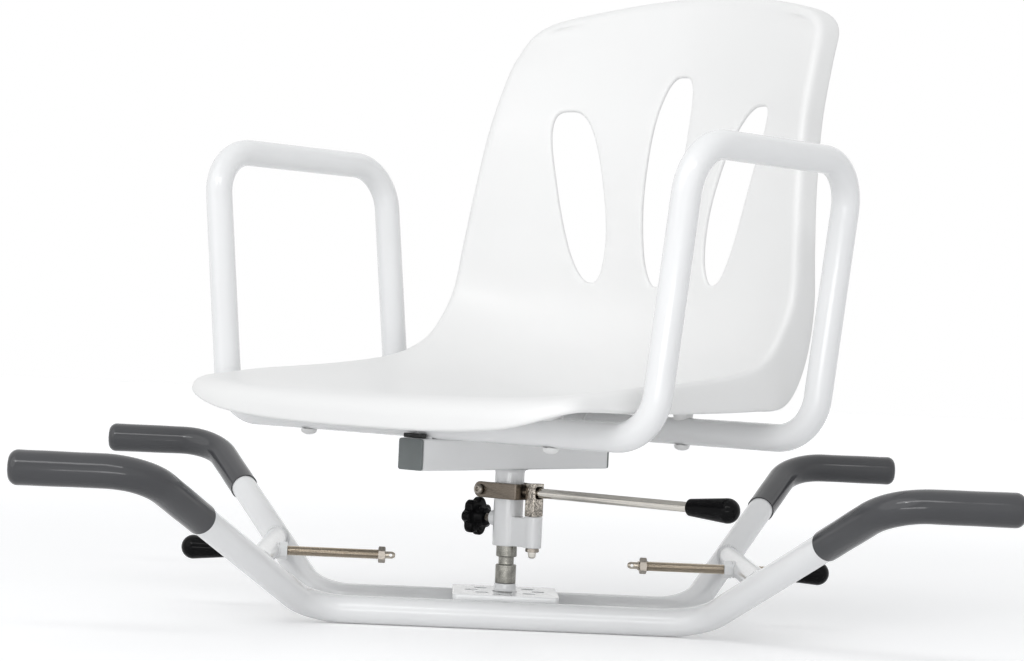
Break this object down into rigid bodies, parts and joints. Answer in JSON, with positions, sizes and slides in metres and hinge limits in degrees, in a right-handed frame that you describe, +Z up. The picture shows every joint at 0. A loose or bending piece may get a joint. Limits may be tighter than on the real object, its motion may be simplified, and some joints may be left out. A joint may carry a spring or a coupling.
{
  "type": "swivel bath seat",
  "caption": "White moulded bath seat with armrests that turns and locks on a bent-tube base standing in the bath.",
  "frame": {"origin": "on the swivel axis at the level of the floor that the base tubes stand on", "axes": "+X across the bath, to the right in the picture; +Y away from the picture's viewer; +Z up. At rest the seat faces 48 degrees from -X towards -Y."},
  "size_m": [0.72, 0.5756, 0.5381],
  "materials": {
    "white_paint": "gloss powder coat",
    "white_plastic": "satin moulded polypropylene",
    "grip_plastic": "gloss dipped vinyl",
    "black_plastic": "gloss",
    "black_rubber": "matt",
    "grey_plastic": "matt",
    "steel": "bright plated",
    "nylon": "natural nylon"
  },
  "bodies": {
    "base": {"front_base_tube": "white_paint", "rear_base_tube": "white_paint", "front_left_grip": "grip_plastic", "front_right_grip": "grip_plastic", "rear_left_grip": "grip_plastic", "rear_right_grip": "grip_plastic", "pivot_plate": "white_paint", "spindle_collar": "white_paint", "spindle": "steel", "left_cross_tube": "white_paint", "right_cross_tube": "white_paint", "left_adjuster_boss": "steel", "right_adjuster_boss": "steel"},
    "bush": {"sleeve_bush": "nylon"},
    "seat": {"swivel_sleeve": "white_paint", "lever_pivot_lug": "white_paint", "lever_pivot_bolt": "steel", "lever_pivot_nut": "steel", "plunger_bush": "steel", "plunger_spring": "steel", "seat_beam": "white_paint", "front_beam_cap": "grey_plastic", "rear_beam_cap": "grey_plastic", "beam_pad": "black_rubber", "left_armrest": "white_paint", "right_armrest": "white_paint", "seat_shell": "white_plastic", "front_left_spacer": "white_plastic", "front_right_spacer": "white_plastic", "rear_left_spacer": "white_plastic", "rear_right_spacer": "white_plastic", "front_left_screw": "white_plastic", "front_right_screw": "white_plastic", "rear_left_screw": "white_plastic", "rear_right_screw": "white_plastic"},
    "lever": {"lever_fork": "steel", "lever_rod": "steel", "lever_knob": "black_plastic"},
    "plunger": {"plunger_pin": "steel", "plunger_head": "steel"},
    "clamp_stud": {"clamp_stud": "steel"},
    "star_knob": {"star_knob": "black_plastic"},
    "left_buffer": {"left_adjuster_buffer": "black_plastic"},
    "left_rod": {"left_adjuster_rod": "steel", "left_adjuster_nut": "steel"},
    "right_buffer": {"right_adjuster_buffer": "black_plastic"},
    "right_rod": {"right_adjuster_rod": "steel", "right_adjuster_nut": "steel"}
  },
  "joints": [
    {"name": "seat_lift", "type": "slide", "parent": "base", "child": "bush", "axis": [0, 0, 1], "range_m": [-0.0334, 0]},
    {"name": "seat_swivel", "type": "hinge", "parent": "bush", "child": "seat", "pos_m": [0, 0, 0.08], "axis": [0, 0, 1], "continuous": true},
    {"name": "lock_lever", "type": "hinge", "parent": "seat", "child": "lever", "pos_m": [-0.01375, 0.01238, 0.1077], "axis": [-0.6691, -0.7431, 0], "range_deg": [0, 8.18], "stiffness_Nm_per_rad": 1.25, "springref_deg": -11.46},
    {"name": "plunger_lift", "type": "slide", "parent": "seat", "child": "plunger", "axis": [0, 0, 1], "range_m": [0, 0.0065], "deforming": ["plunger_spring"]},
    {"name": "clamp_feed", "type": "slide", "parent": "seat", "child": "clamp_stud", "axis": [-0.7431, 0.6691, 0], "range_m": [0, 0.0038]},
    {"name": "clamp_turn", "type": "hinge", "parent": "clamp_stud", "child": "star_knob", "pos_m": [0, 0, 0.0844], "axis": [-0.7431, 0.6691, 0], "range_deg": [0, 1095]},
    {"name": "left_feed", "type": "slide", "parent": "base", "child": "left_buffer", "axis": [-1, 0, 0], "range_m": [-0.0135, 0.0725]},
    {"name": "left_turn", "type": "hinge", "parent": "left_buffer", "child": "left_rod", "pos_m": [-0.15, 0, 0.05115], "axis": [-1, 0, 0], "range_deg": [-3889, 20881]},
    {"name": "right_feed", "type": "slide", "parent": "base", "child": "right_buffer", "axis": [1, 0, 0], "range_m": [-0.0135, 0.0621]},
    {"name": "right_turn", "type": "hinge", "parent": "right_buffer", "child": "right_rod", "pos_m": [0.15, 0, 0.05115], "axis": [1, 0, 0], "range_deg": [-3889, 17886]}
  ],
  "couplings": [
    {"joint": "plunger_lift", "follows": "lock_lever", "m_per_rad": 0.0455},
    {"joint": "clamp_turn", "follows": "clamp_feed", "rad_per_m": 5026.5},
    {"joint": "left_turn", "follows": "left_feed", "rad_per_m": 5026.5},
    {"joint": "right_turn", "follows": "right_feed", "rad_per_m": 5026.5}
  ]
}
